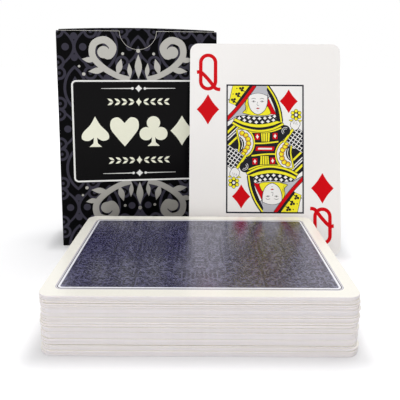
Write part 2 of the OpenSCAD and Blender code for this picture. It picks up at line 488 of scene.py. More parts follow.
# The box's floor: the bottom panel glued over two dust flaps, with a tab up behind the front panel.
# The same board as the sleeve, printed on its underside alone.
def floor_board_finish():
    """Printed on what faces down, bare board elsewhere."""
    material, tree, shader = finish("floor_board", roughness=0.5, specular=0.1)
    coordinates = add(tree, "ShaderNodeTexCoord").outputs
    _, _, upward = parts_of(tree, coordinates["Normal"])
    underside = upward.math("LESS_THAN", -0.5)
    sheet = add(tree, "ShaderNodeVectorMath", {0: coordinates["Object"], "Scale": 1 / MM},
                operation="SCALE").outputs["Vector"]
    colour = mixed(tree, underside.socket, board_white, damask_print(tree, sheet))
    speckled(tree, shader, colour, sheet, size=0.6, depth=0.15, tooth=0.008)
    return material


floor_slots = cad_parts["box_floor"].data.materials
floor_slots.clear()
floor_slots.append(floor_board_finish())


# The closure: the lid is creased at the top of the back panel, the tuck tab at the lid's front edge,
# and a dust flap at the top of each side panel. They are the sleeve's own board, printed outside.
crease_gap, lid_inset, lid_crown, crown_steps, hair = 0.05, 1.0, 0.8, 24, 0.01
lid_front, tab_depth, tab_inset, tab_corner = 1.35, 11.0, 1.5, 7.0
lid_w, lid_l, lid_z = box_w - 2 * lid_inset, box_d - lid_front, box_h + crease_gap
crown_r = ((lid_w / 2) ** 2 + lid_crown ** 2) / (2 * lid_crown)
tab_w = lid_w - 2 * tab_inset


def crown_at(x):
    """How far the lid's front edge is bowed up at a place along it."""
    return sqrt(crown_r ** 2 - x ** 2) - crown_r + lid_crown


def lid_place(u, v, depth):
    """The lid lies back over the deck from its crease, bowed more and more towards its front."""
    rise = crown_at(u) * v / lid_l
    return in_box(u, box_d - v, lid_z + board_t + rise - depth)


def tab_place(u, v, depth):
    """The tab hangs from the lid's front edge, behind the front panel."""
    return in_box(u, lid_front + depth, box_h - tab_depth + v)


bow = [lid_w * (i / crown_steps - 0.5) for i in range(crown_steps + 1)]
lid_outline = [(-lid_w / 2, 0), (lid_w / 2, 0)] + [(u, lid_l) for u in reversed(bow)]
board_piece("bowed_lid", "box_lid", "box_lid", lid_outline, [((u, -1), (u, lid_l + 1)) for u in bow[1:-1]],
            lid_place, folded=lambda u, v: v < hair or v > lid_l - hair)

tab_side = tab_w / 2 - tab_corner
tab_bow = [tab_w * (i / crown_steps - 0.5) for i in range(crown_steps + 1)]
tab_outline = (arc(-tab_side, tab_corner, tab_corner, 180, 270)
               + arc(tab_side, tab_corner, tab_corner, 270, 360)
               + [(u, tab_depth + crown_at(u)) for u in reversed(tab_bow)])
board_piece("rounded_tuck_tab", "box_tuck_tab", "box_tuck_tab", tab_outline, [], tab_place,
            folded=lambda u, v: v > tab_depth)

flap_reach, flap_nick, flap_front, flap_inset = 13.0, 2.0, 2.6, 1.25
front_taper, back_taper = 0.25, 0.46
flap_back, flap_z = box_d - flap_inset, wall_h + crease_gap
tip_front, tip_back = flap_front + front_taper * flap_reach, flap_back - back_taper * flap_reach
flap_outline = [(0, flap_front), (flap_reach - flap_nick, tip_front - front_taper * flap_nick),
                (flap_reach, tip_front + flap_nick), (flap_reach, tip_back - flap_nick),
                (flap_reach - flap_nick, tip_back + back_taper * flap_nick), (0, flap_back)]
for side, name in ((-1, "left"), (1, "right")):
    board_piece(f"{name}_dust_flap", f"box_{name}_dust_flap", f"box_{name}_dust_flap", flap_outline, [],
                lambda u, v, depth: in_box(side * (box_w / 2 - u), v, flap_z + board_t - depth),
                folded=lambda u, v: u < hair)


# The front's print over the damask: a black label panel in a white rule, with the four suits in
# cream, and silver scrolls above and below it. The inks lie on the board as a thin raised layer.
ink_rise, ink_sink = 0.015, 0.01
panel_x, panel_y, panel_corner, rule_w, panel_mid = 27.6, 21.7, 2.0, 0.7, 49.7


def disc(cx, cy, r):
    """The points of a whole circle."""
    return arc(cx, cy, r, 0, 360)[:-1]


def flow(*points, steps=6):
    """A smooth line through a few points."""
    ends = [points[0], *points, points[-1]]
    line = []
    for a, b, c, d in zip(ends, ends[1:], ends[2:], ends[3:]):
        a, b, c, d = (Vector(p) for p in (a, b, c, d))
        for t in (i / steps for i in range(steps)):
            bend = 2 * a - 5 * b + 4 * c - d + t * (3 * (b - c) + d - a)
            line.append(tuple(b + 0.5 * t * (c - a + t * bend)))
    return line + [points[-1]]


def band(line, width, end_width=None):
    """A stroke along a line, which may swell or taper to another width at its end."""
    end_width = width if end_width is None else end_width
    last = len(line) - 1
    left, right = [], []
    for i, point in enumerate(line):
        way = Vector(line[min(i + 1, last)]) - Vector(line[max(i - 1, 0)])
        out = Vector((-way.y, way.x)).normalized() * (width + (end_width - width) * i / last) / 2
        left.append(tuple(Vector(point) + out))
        right.append(tuple(Vector(point) - out))
    return left + right[::-1]


def leaf(start, tip, width):
    """A pointed leaf between two ends."""
    start, tip = Vector(start), Vector(tip)
    way = (tip - start).normalized() * width / 2
    middle, out = (start + tip) / 2, Vector((-way.y, way.x))
    return (flow(start, middle + out, tip, steps=5)[:-1] + flow(tip, middle - out, start, steps=5)[:-1])


def placed(shape, x=0, y=0, turn=0, size=1):
    """A shape about the origin, sized, turned and moved to a place."""
    c, s = size * cos(radians(turn)), size * sin(radians(turn))
    return [(x + c * px - s * py, y + s * px + c * py) for px, py in shape]


def mirrored(shape):
    """The shape's mirror image, left for right."""
    return [(-x, y) for x, y in reversed(shape)]


def rectangle(x, y):
    """A rectangle of that half width and half height."""
    return [(-x, -y), (x, -y), (x, y), (-x, y)]


def rounded(x, y, r):
    """A rectangle of that half width and half height, with round corners."""
    return (arc(x - r, y - r, r, 0, 90) + arc(r - x, y - r, r, 90, 180)
            + arc(r - x, r - y, r, 180, 270) + arc(x - r, r - y, r, 270, 360))


def diamond(x, y, half_w, half_h):
    """A diamond pip, with hollow sides."""
    hollow, points = 0.455, []
    tips = [Vector(tip) for tip in ((half_w, 0), (0, half_h), (-half_w, 0), (0, -half_h))]
    for a, b in zip(tips, tips[1:] + tips[:1]):
        points += flow(a, (a + b) * hollow, b, steps=4)[:-1]
    return placed([tuple(p) for p in points], x, y)


def suit_pip(suit):
    """The parts of a suit's pip, one unit high about the origin."""
    stem = [(-0.2, -0.5), (0.2, -0.5), (0.07, -0.38), (0.04, -0.1), (-0.04, -0.1), (-0.07, -0.38)]
    half_heart = flow((0, 0.27), (0.2, 0.46), (0.42, 0.38), (0.45, 0.1), (0.25, -0.2), (0, -0.5))
    half_spade = flow((0, 0.5), (0.16, 0.22), (0.4, -0.04), (0.42, -0.24), (0.22, -0.3), (0, -0.16))
    return {"diamonds": [diamond(0, 0, 0.38, 0.5)],
            "hearts": [half_heart + mirrored(half_heart)[1:-1]],
            "spades": [half_spade + mirrored(half_spade)[1:-1], stem],
            "clubs": [disc(0, 0.27, 0.22), disc(-0.24, -0.09, 0.22), disc(0.24, -0.09, 0.22),
                      diamond(0, 0.05, 0.2, 0.2), stem]}[suit]


def turns_left(shape):
    """Whether a shape's points run counter-clockwise."""
    return sum(ax * by - bx * ay for (ax, ay), (bx, by) in zip(shape, shape[1:] + shape[:1])) > 0


def ink_sheet(name, shapes, inks, place, rise, sink):
    """A print of shapes laid one over another in order, each in its ink, as a thin closed sheet."""
    flat, rings, keep_inside, weld = [], [], 1, 1e-4
    for _, shape in shapes:
        rings.append([len(flat) + i for i in range(len(shape))][::1 if turns_left(shape) else -1])
        flat += [Vector(p) for p in shape]
    flat, _, faces, _, _, sources = delaunay_2d_cdt(flat, [], rings, keep_inside, weld)
    inked = [i for i, source in enumerate(sources) if source]
    slots = list(inks)
    top = [slots.index(shapes[max(sources[i])][0]) for i in inked]
    return thick_sheet(name, flat, [faces[i] for i in inked], inks.values(), place,
                       top_depth=lambda v: -rise, low_depth=lambda v: sink,
                       top_slot=lambda i: top[i], low_slot=0, wall_slot=lambda a, b: 0)


def ink_layer(name, body, slot, *print_settings):
    """A print that rides on a body."""
    layer = ink_sheet(name, *print_settings)
    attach(layer, body)


def ink_finish(name, colour, roughness=0.35, specular=0.1, metallic=0.0, depth=0.12):
    """A printing ink, a little uneven where the screen laid it."""
    material, tree, shader = finish(name, roughness, specular, metallic)
    speckled(tree, shader, colour, on_sheet(tree), size=0.35, depth=depth, tooth=0.001)
    return material


box_inks = {
    "black": ink_finish("label_black", linear(8, 7, 8), roughness=0.25, specular=0.06),
    "white": ink_finish("rule_white", linear(238, 238, 234)),
    "cream": ink_finish("pip_cream", linear(243, 243, 222)),
    "silver": ink_finish("scroll_silver", linear(168, 166, 160), roughness=0.42, metallic=0.6)}
front_print = []


def print_front(ink, shape, mirror=True):
    """A shape above the panel's middle, with its mirror image, and both again below the middle."""
    for half in ([shape, mirrored(shape)] if mirror else [shape]):
        for flip in (1, -1):
            front_print.append((ink, [(x, panel_mid + flip * y) for x, y in half]))


scroll = flow((3.6, 22.0), (8.6, 23.4), (14.6, 27.0), (18.6, 31.6), (18.0, 36.6), (13.6, 38.2),
              (10.4, 35.2), (12.0, 31.9), (14.2, 33.0))
print_front("silver", band(scroll, 2.2, 3.4))
print_front("silver", disc(14.2, 33.2, 2.5))
for start, tip, width in (((8.8, 23.6), (7.0, 30.6), 2.6), ((13.4, 26.0), (20.6, 25.2), 2.6),
                          ((17.4, 29.6), (23.0, 30.4), 2.2), ((3.4, 22.4), (3.9, 28.8), 1.9)):
    print_front("silver", leaf(start, tip, width))
print_front("silver", leaf((0, 22.2), (0, 32.4), 3.0), mirror=False)
for x, y, r in ((0, 33.8, 0.8), (6.4, 32.6, 0.6), (22.4, 24.2, 0.7), (24.2, 27.4, 0.5)):
    print_front("silver", disc(x, y, r), mirror=x > 0)
for ink, inset in (("white", 0), ("black", rule_w)):
    panel = rounded(panel_x - inset, panel_y - inset, panel_corner - inset)
    front_print.append((ink, placed(panel, 0, panel_mid)))
divider_y, divider_start, divider_end = 18.2, 2.6, 15.5
print_front("white", band([(divider_start, divider_y), (divider_end, divider_y)], 0.4, 0.16))
print_front("white", diamond(0, divider_y, 1.5, 1.5), mirror=False)
print_front("white", disc(divider_start, divider_y, 0.55))
sprig_start, sprig_pitch, sprig_w, sprig_count = 3.0, 2.9, 1.0, 4
for i in range(sprig_count):
    x = sprig_start + sprig_pitch * i
    print_front("cream", leaf((x - 1.1, 12.6), (x + 1.3, 14.0), sprig_w))
    print_front("cream", leaf((x - 1.1, 12.4), (x + 1.3, 11.2), sprig_w))
print_front("cream", diamond(0, 12.5, 1.2, 1.7), mirror=False)
label_pip_h, label_pip_pitch = 13.0, 12.2
for i, suit in enumerate(("spades", "hearts", "clubs", "diamonds")):
    for part in suit_pip(suit):
        x = (i - 1.5) * label_pip_pitch
        front_print.append(("cream", placed(part, x, panel_mid, size=label_pip_h)))
ink_layer("front_print", "box", "box_board", front_print, box_inks,
          lambda u, v, depth: in_box(u, depth, v), ink_rise, ink_sink)


# The cards: each one is a single sheet of white plastic, printed on both sides and die cut, with
# round corners and a slightly rounded rim. They lie face down in a pile, a hair out of line.
card_l, card_w, card_t, card_corner, card_rim = 88.0, 63.0, 0.32, 3.5, 0.02


def card_stock_finish():
    """The unprinted face: bright white plastic with a faint tooth."""
    material, tree, shader = finish("card_stock", roughness=0.32, specular=0.4)
    speckled(tree, shader, linear(243, 240, 237), on_sheet(tree), size=0.7, depth=0.03, tooth=0.002)
    return material


def card_rim_finish():
    """The cut edge: the same plastic, duller and a little uneven in tone."""
    material, tree, shader = finish("card_rim", roughness=0.55, specular=0.2)
    speckled(tree, shader, linear(229, 222, 223), on_sheet(tree), size=2.5, depth=0.08)
    shader.inputs["Subsurface Weight"].default_value = 0.5
    shader.inputs["Subsurface Radius"].default_value = (0.5, 0.45, 0.4)
    shader.inputs["Subsurface Scale"].default_value = MM
    return material


def card_back_finish():
    """The back: a slate-blue field of fine meanders, alike both ways, in a white line and two rules."""
    ivory, navy, grey = linear(247, 244, 234), linear(58, 55, 82), linear(158, 153, 182)
    white, dark, light = linear(243, 243, 249), linear(19, 15, 51), linear(73, 71, 110)
    field_x, field_y, field_corner, blur = 39.0, 26.5, 0.8, 0.08
    twig, twig_half, twig_blur, gloss, varnish, glassiness = 1.3, 0.07, 0.05, 0.25, 0.8, 1.75
    line_at, line_w, rule_at, rule_w = 0.78, 0.3, 1.2, 0.22
    material, tree, shader = finish("card_back", roughness=gloss, specular=0.7)
    place = on_sheet(tree)
    sheet_x, sheet_y, _ = parts_of(tree, place)
    from_mid_x, from_mid_y = abs(sheet_x), abs(sheet_y)
    out_x, out_y = from_mid_x - (field_x - field_corner), from_mid_y - (field_y - field_corner)
    edge = (out_x.further(0).far(out_y.further(0)) + out_x.further(out_y).nearer(0)) - field_corner
    inside = edge.fill(blur)
    quarter = add(tree, "ShaderNodeCombineXYZ", {"X": from_mid_x.socket, "Y": from_mid_y.socket})
    meander = add(tree, "ShaderNodeTexNoise", {"Vector": quarter.outputs[0], "Scale": 1 / twig,
                                               "Detail": 0.0}).outputs["Fac"]
    pattern = (abs(Wire(tree, meander) - 0.5) - twig_half).fill(twig_blur)
    field = mixed(tree, pattern.socket, dark, light)
    lined = mixed(tree, (edge - line_at).fill(blur).socket, ivory, white)
    colour = mixed(tree, inside.socket, lined, field)
    for at, width, ink in ((line_at, line_w, navy), (rule_at, rule_w, grey)):
        rule = (abs(edge - at) - width / 2).fill(blur)
        colour = mixed(tree, rule.socket, colour, ink)
    speckled(tree, shader, colour, place, size=0.4, depth=0.12, tooth=0.0012)
    shader.inputs["IOR"].default_value = glassiness
    tree.links.new((pattern * inside * varnish).socket, shader.inputs["Coat Weight"])
    shader.inputs["Coat Roughness"].default_value = gloss
    return material


card_stock, card_rim_plastic, card_back = card_stock_finish(), card_rim_finish(), card_back_finish()


def geometry_tree(name, inputs):
    """An empty geometry tree with named inputs, and the sockets of its input and output nodes."""
    return group(name, inputs, {"Geometry": "NodeSocketGeometry"}, "GeometryNodeTree")


def die_cut_card_tree():
    """A card about the origin, long side along X and back up, in metres, with its rim rounded."""
    sizes, sides = ("Length", "Width", "Thickness", "Corner", "Rim"), ("Face", "Back", "Edge")
    tree, given, result = geometry_tree("die_cut_card", {**dict.fromkeys(sizes, "NodeSocketFloat"),
                                                         **dict.fromkeys(sides, "NodeSocketMaterial")})
    length, width, thickness, corner, rim = (Wire(tree, given[size]) for size in sizes)
    inner_l, inner_w = length - rim * 2, width - rim * 2
    outline = add(tree, "GeometryNodeCurvePrimitiveQuadrilateral",
                  {"Width": inner_l.socket, "Height": inner_w.socket})
    trimmed = add(tree, "GeometryNodeFilletCurve", {"Curve": outline.outputs[0], "Count": 10,
                                                    "Radius": (corner - rim).socket}, mode="POLY")
    filled = add(tree, "GeometryNodeFillCurve", {"Curve": trimmed.outputs[0]}, mode="NGONS")
    drop = add(tree, "ShaderNodeCombineXYZ", {"Z": (thickness * -0.5).socket})
    face = add(tree, "GeometryNodeTransform", {"Geometry": filled.outputs[0],
                                               "Translation": drop.outputs[0]})
    solid, top, rims = face.outputs[0], True, None
    position = add(tree, "GeometryNodeInputPosition").outputs[0]
    grow = (length.math("DIVIDE", inner_l), width.math("DIVIDE", inner_w))
    shrink = (inner_l.math("DIVIDE", length), inner_w.math("DIVIDE", width))
    for height, spread in ((rim, grow), (thickness - rim * 2, None), (rim, shrink)):
        raised = add(tree, "GeometryNodeExtrudeMesh", {
            "Mesh": solid, "Selection": top, "Offset": (0, 0, 1), "Offset Scale": height.socket,
            "Individual": False}, mode="FACES")
        solid, top = raised.outputs["Mesh"], raised.outputs["Top"]
        if spread:
            scale = add(tree, "ShaderNodeCombineXYZ", {"X": spread[0].socket, "Y": spread[1].socket,
                                                       "Z": 1.0})
            moved = add(tree, "ShaderNodeVectorMath", {0: position, 1: scale.outputs[0]},
                        operation="MULTIPLY")
            solid = add(tree, "GeometryNodeSetPosition", {"Geometry": solid, "Selection": top,
                                                          "Position": moved.outputs[0]}).outputs[0]
        side = raised.outputs["Side"]
        rims = side if rims is None else add(tree, "FunctionNodeBooleanMath", {0: rims, 1: side},
                                             operation="OR").outputs[0]
    under = add(tree, "GeometryNodeFlipFaces", {"Mesh": face.outputs[0]})
    coloured = add(tree, "GeometryNodeSetMaterial", {"Geometry": solid, "Material": given["Back"]})
    coloured = add(tree, "GeometryNodeSetMaterial", {"Geometry": coloured.outputs[0], "Selection": rims,
                                                     "Material": given["Edge"]})
    under = add(tree, "GeometryNodeSetMaterial", {"Geometry": under.outputs[0], "Material": given["Face"]})
    joined = add(tree, "GeometryNodeJoinGeometry")
    tree.links.new(coloured.outputs[0], joined.inputs[0])
    tree.links.new(under.outputs[0], joined.inputs[0])
    closed = add(tree, "GeometryNodeMergeByDistance", {"Geometry": joined.outputs[0], "Distance": 1e-6})
    in_mm = add(tree, "ShaderNodeVectorMath", {0: position, "Scale": 1 / MM}, operation="SCALE")
    marked = add(tree, "GeometryNodeStoreNamedAttribute", {"Geometry": closed.outputs[0], "Name": "flat_mm",
                                                           "Value": in_mm.outputs["Vector"]},
                 data_type="FLOAT_VECTOR", domain="POINT")
    tree.links.new(add(tree, "GeometryNodeRealizeInstances", {0: marked.outputs[0]}).outputs[0], result[0])
    return tree


def grown(name, tree, settings, base=None):
    """The mesh that a geometry tree makes with these settings, as a plain mesh."""
    maker = set_out(name, base or bpy.data.meshes.new(name))
    modifier = maker.modifiers.new("maker", "NODES")
    modifier.node_group = tree
    for socket in tree.interface.items_tree:
        if socket.in_out == "INPUT" and socket.name in settings:
            modifier[socket.identifier] = settings[socket.name]
    shape = bpy.data.meshes.new_from_object(maker.evaluated_get(bpy.context.evaluated_depsgraph_get()))
    bpy.data.objects.remove(maker)
    shape.name = name
    return shape


def card_frame(node, back_way, long_way):
    """Where the CAD holds a card: the matrix from a card about the origin to its place."""
    corners = np.unique(np.round([v.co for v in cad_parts[node].data.vertices], 7), axis=0)
    long_axis, _, thin_axis = np.linalg.svd(corners - corners.mean(0), full_matrices=False)[2]
    long_axis, thin_axis = Vector(long_axis), Vector(thin_axis)
    long_axis *= 1 if long_axis.dot(Vector(long_way)) > 0 else -1
    thin_axis *= 1 if thin_axis.dot(Vector(back_way)) > 0 else -1
    short_axis = thin_axis.cross(long_axis)
    turn = Matrix((long_axis, short_axis, thin_axis)).transposed().to_4x4()
    return Matrix.Translation((corners.min(0) + corners.max(0)) / 2) @ turn


card_tree = die_cut_card_tree()
card_sizes = {"Length": card_l * MM, "Width": card_w * MM, "Thickness": card_t * MM,
              "Corner": card_corner * MM, "Rim": card_rim * MM, "Face": card_stock, "Back": card_back,
              "Edge": card_rim_plastic}


def card_piece(node, back_way, long_way):
    """A card in its place, on its own body."""
    shape = grown(f"die_cut_{node}", card_tree, card_sizes)
    shape.transform(card_frame(node, back_way, long_way))
    piece = set_out(f"die_cut_{node}", shape)
    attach(piece, node)
    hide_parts(node)


# which way a card's back and its long side point, in the pile and on the box
lying, leaning = ((0, 0, 1), (1, 0, 0)), ((0, 1, 0), (0, 0, 1))
leaning_card = "queen_of_diamonds"
box_nodes = [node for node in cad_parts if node.startswith("box_")]
pile = [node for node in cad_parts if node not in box_nodes and node != leaning_card]
for node in pile:
    card_piece(node, *lying)
card_piece(leaning_card, *leaning)


# The leaning card's face: large red corner indices, and a double-ended court figure in a thin
# frame. Seven inks on the white stock, all in one thin layer.
frame_x, frame_y, frame_line, contour = 16.2, 26.85, 0.62, 0.24
card_inks = {
    "black": ink_finish("card_black", linear(26, 26, 33)),
    "navy": ink_finish("card_navy", linear(24, 24, 38)),
    "white": ink_finish("card_white", linear(243, 241, 238), depth=0.03),
    "red": ink_finish("card_red", linear(210, 8, 20), specular=0.05),
    "yellow": ink_finish("card_yellow", linear(247, 236, 48)),
    "gold": ink_finish("card_gold", linear(238, 184, 46)),
    "grey": ink_finish("card_grey", linear(190, 190, 196))}
face_print = []


def within(shape, x, y):
    """A shape clipped to the rectangle of that half width and half height."""
    for axis, side, limit in ((0, 1, x), (0, -1, x), (1, 1, y), (1, -1, y)):
        kept = []
        for p, q in zip(shape, shape[1:] + shape[:1]):
            over_p, over_q = side * p[axis] - limit, side * q[axis] - limit
            if over_p <= 0:
                kept.append(p)
            if (over_p <= 0) != (over_q <= 0):
                kept.append(tuple(Vector(p).lerp(Vector(q), over_p / (over_p - over_q))))
        shape = kept
    return shape


def swollen(shape, width):
    """A shape with its outline moved outwards."""
    reach = width if turns_left(shape) else -width
    swell = []
    for before, (x, y), after in zip(shape[-1:] + shape[:-1], shape, shape[1:] + shape[:1]):
        out = Vector((after[1] - before[1], before[0] - after[0])).normalized() * reach
        swell.append((x + out.x, y + out.y))
    return swell


def both_ends(shapes):
    """Shapes, and the same by a half turn of the card."""
    return [(ink, placed(shape, turn=turn)) for turn in (0, 180) for ink, shape in shapes]


def draw(ink, shape, outline=0):
    """A shape of the figure at both ends, on a black outline or none, clipped to the frame's inside."""
    below = [("black", swollen(shape, outline))] if outline else []
    for colour, part in both_ends(below + [(ink, shape)]):
        clipped = within(part, frame_x - frame_line, frame_y - frame_line)
        if len(clipped) > 2:
            face_print.append((colour, clipped))


def along(line, share):
    """The point at a share of a line's points, from 0 to 1."""
    at = share * (len(line) - 1)
    i = min(int(at), len(line) - 2)
    return Vector(line[i]).lerp(Vector(line[i + 1]), at - i)


face_print.append(("navy", rectangle(frame_x, frame_y)))
face_print.append(("white", rectangle(frame_x - frame_line, frame_y - frame_line)))

# robe, with striped mantle
yoke = flow((-13.6, 10.8), (-9.2, 8.6), (-2.9, 7.4), (3.0, 8.2), (7.6, 10.4))
draw("black", yoke + [(9.6, 8.4), (9.2, 5.4), (6.2, 2.4), (5.0, -0.8), (-5.0, -1.4), (-16.0, 0.5),
                      (-16.0, 9.0)])
for top, width, ink in ((12.0, 0.9, "yellow"), (9.4, 1.3, "white"), (9.4, 0.4, "black"),
                        (6.2, 0.8, "yellow")):
    draw(ink, band([(-10.2, top), (-17.0, top - 6.6)], width))
# breast ornament with gilt roundels
crescent = (flow((-11.4, 7.8), (-8.0, 7.6), (-5.6, 5.2), (-5.0, 1.6), (-6.4, -1.6), (-9.2, -3.6))
            + flow((-10.6, -1.6), (-10.2, 1.6), (-10.8, 4.8)))
draw("yellow", swollen(crescent, 0.75), contour)
draw("white", crescent, contour)
for x, y in ((-9.6, 6.4), (-8.0, 5.5), (-7.1, 3.9), (-6.9, 2.1), (-7.4, 0.4), (-8.4, -1.0), (-9.1, -2.4)):
    draw("gold", disc(x, y, 0.98), 0.2)
    draw("yellow", disc(x + 0.15, y + 0.2, 0.6))
draw("black", flow((-10.7, 5.2), (-9.2, 3.7), (-8.7, 1.7), (-9.3, -0.5), (-10.5, -2.0)) + [(-10.2, 1.6)])
draw("white", band(flow((-10.2, 4.2), (-9.6, 2.9), (-9.4, 1.5), (-9.8, -0.2)), 0.28))
# latticed cuff and shoulder roll
cuff, cuff_turn, cuff_w, cuff_l = (8.4, 3.4), 55.0, 7.2, 11.6
cell, cell_half, cell_rows, cell_columns, first_cell = 1.4, 0.54, 8, 5, (0.8, -1.2)
draw("white", placed([(0, 0), (cuff_w, 0), (cuff_w, -cuff_l), (0, -cuff_l)], *cuff, cuff_turn), contour)
for row in range(cell_rows):
    for column in range(cell_columns):
        x, y = first_cell[0] + column * cell, first_cell[1] - row * cell
        square = placed(rectangle(cell_half, cell_half), x, y)
        draw("black", placed(square, *cuff, cuff_turn))
draw("yellow", placed([(-0.9, 0.5), (7.4, 0.5), (7.4, -0.4), (-0.9, -0.4)], *cuff, cuff_turn), contour)
draw("black", disc(8.3, 7.6, 2.3))
for r in (1.55, 0.9):
    draw("white", band(arc(8.6, 7.4, r, 60, 230), 0.2))
# stomacher and belt
draw("yellow", band(flow((-6.4, 7.0), (-1.5, 6.9), (3.0, 7.3), (6.8, 8.7)), 0.55))
draw("yellow", [(-1.7, 6.4), (2.0, 6.6), (1.8, 3.0), (-1.4, 3.0)])
for x in (-0.9, 0.1, 1.1):
    draw("black", band([(x, 6.6), (x * 0.9, 2.9)], 0.26))
for x, y in ((-3.2, 5.0), (4.2, 5.3)):
    draw("red", placed(rectangle(1.0, 1.3), x, y))
    draw("white", diamond(x, y, 0.65, 1.0))
draw("yellow", band(flow((-4.6, 2.2), (0, 2.3), (5.6, 3.0)), 0.6))
draw("red", [(-4.0, -0.9), (3.6, -0.9), (4.0, 0.9), (-3.6, 0.9)])
draw("white", [(-3.0, -0.35), (2.8, -0.35), (3.0, 0.35), (-2.8, 0.35)])
# gilt yoke and lozenge collar
collar_top = flow((-10.6, 14.6), (-7.0, 13.8), (-2.8, 13.5), (1.4, 13.8), (4.6, 14.6))
collar_low = flow((-12.4, 12.6), (-8.4, 10.9), (-3.1, 10.1), (2.0, 10.7), (6.0, 12.0))
edging = flow((-13.2, 11.8), (-8.8, 9.9), (-3.0, 8.9), (2.5, 9.6), (7.0, 11.3))
draw("black", edging + yoke[::-1])
draw("yellow", band(yoke, 0.8), contour)
draw("yellow", collar_low + edging[::-1], contour)
draw("black", collar_top + collar_low[::-1])
lozenges = 8
for share, shift in ((0.27, 0.0), (0.73, 0.5)):
    for i in range(lozenges):
        at = (i + shift + 0.25) / lozenges
        x, y = along(collar_top, at).lerp(along(collar_low, at), share)
        draw("white", diamond(x, y, 0.85, 0.75))
# veil, hair and face
draw("grey", [(-4.9, 26.5), (1.3, 26.5), (2.4, 22.5), (-6.0, 14.2), (-11.8, 13.6), (-16.0, 11.2),
              (-16.0, 11.8), (-8.6, 20.0)], contour)
draw("red", [(0.6, 22.5), (4.6, 14.4), (0.2, 14.4)], contour)
draw("yellow", flow((-7.0, 21.6), (-8.2, 19.0), (-8.0, 16.6), (-9.4, 15.0))
     + flow((-5.6, 14.0), (0.0, 14.0), (2.2, 14.8), (1.2, 17.4)), contour)
for x in (-7.8, -7.3):
    draw("black", band(flow((x + 0.5, 19.6), (x, 17.4), (x - 0.6, 15.2)), 0.12))
face_mid = -3.0
half_face = flow((3.9, 23.6), (3.9, 19.4), (3.0, 16.5), (1.4, 14.9), (0, 14.4))
draw("white", [(face_mid + x, y) for x, y in half_face + mirrored(half_face)[1:]], contour)
veil_hem = flow((-7.0, 22.2), (-5.0, 23.0), (-3.0, 23.3), (-1.0, 23.0), (1.0, 22.2))
draw("grey", veil_hem + [(1.6, 26.6), (-4.4, 26.6)], 0.16)
for side in (-1, 1):
    x = face_mid + side * 1.75
    draw("black", band(flow((x - 0.9, 20.75), (x, 21.05), (x + 0.9, 20.75)), 0.16))
    draw("black", leaf((x - 0.85, 19.75), (x + 0.85, 19.75), 0.7))
    draw("white", leaf((x - 0.66, 19.73), (x + 0.66, 19.73), 0.46))
    draw("black", disc(x, 19.75, 0.22))
draw("black", band(flow((-3.15, 19.6), (-3.35, 18.3), (-2.9, 18.05), (-2.6, 18.2)), 0.13))
draw("red", leaf((face_mid - 0.75, 16.85), (face_mid + 0.75, 16.85), 0.6))
draw("black", band([(face_mid - 0.8, 16.87), (face_mid, 16.83), (face_mid + 0.8, 16.87)], 0.12))
draw("black", band(arc(face_mid, 16.2, 0.5, 220, 320), 0.1))
# lappet, hood stripes and crown
lappet_out = flow((1.4, 26.6), (4.4, 22.0), (6.5, 16.6), (7.4, 11.2))
lappet_in = flow((0.9, 24.6), (2.6, 21.0), (4.4, 16.2), (5.0, 11.8))
draw("black", lappet_out + lappet_in[::-1], contour)
draw("yellow", band([(x - 0.55, y - 0.2) for x, y in lappet_out], 0.6))
draw("red", band(flow((-4.2, 26.6), (-8.0, 21.4), (-12.0, 16.4), (-16.2, 11.9)), 1.25), contour)
draw("black", band(flow((-5.6, 26.6), (-9.2, 21.9), (-12.4, 17.9)), 1.1))
draw("yellow", [(-13.4, 26.6), (-6.4, 26.6), (-12.6, 18.2), (-15.0, 19.2)], contour)
for x, y in ((-9.8, 25.0), (-11.4, 22.6), (-13.2, 20.2)):
    for turn in (40, 160, 280):
        draw("black", placed(disc(0.62, 0, 0.52), x, y, turn))
    draw("black", band([(x, y), (x + 1.2, y - 1.2)], 0.36))
    draw("black", disc(x - 2.0, y + 0.2, 0.24))
# hand with a flower
draw("yellow", leaf((10.0, 12.0), (13.0, 11.4), 0.9), 0.14)
draw("yellow", leaf((15.4, 11.9), (13.2, 11.2), 0.8), 0.14)
draw("white", flow((10.6, 9.6), (11.0, 11.2), (12.4, 12.2), (13.8, 11.8), (14.6, 10.4), (13.6, 8.4),
                   (12.2, 8.0), (10.6, 9.6))[:-1], 0.18)
for i in range(3):
    draw("black", band([(11.6 + 0.8 * i, 11.7 - 0.2 * i), (11.9 + 0.75 * i, 10.4 - 0.2 * i)], 0.13))
flower = (13.0, 14.2)
draw("black", band([(12.9, 11.6), flower], 0.3))
draw("black", disc(*flower, 1.9))
for turn in range(30, 390, 60):
    draw("yellow", placed(disc(1.65, 0, 0.64), *flower, turn), 0.18)
for turn in range(0, 360, 60):
    draw("black", placed(disc(1.15, 0, 0.22), *flower, turn))
draw("white", disc(*flower, 0.6), 0.16)
draw("red", diamond(9.9, 19.9, 3.8, 5.0))

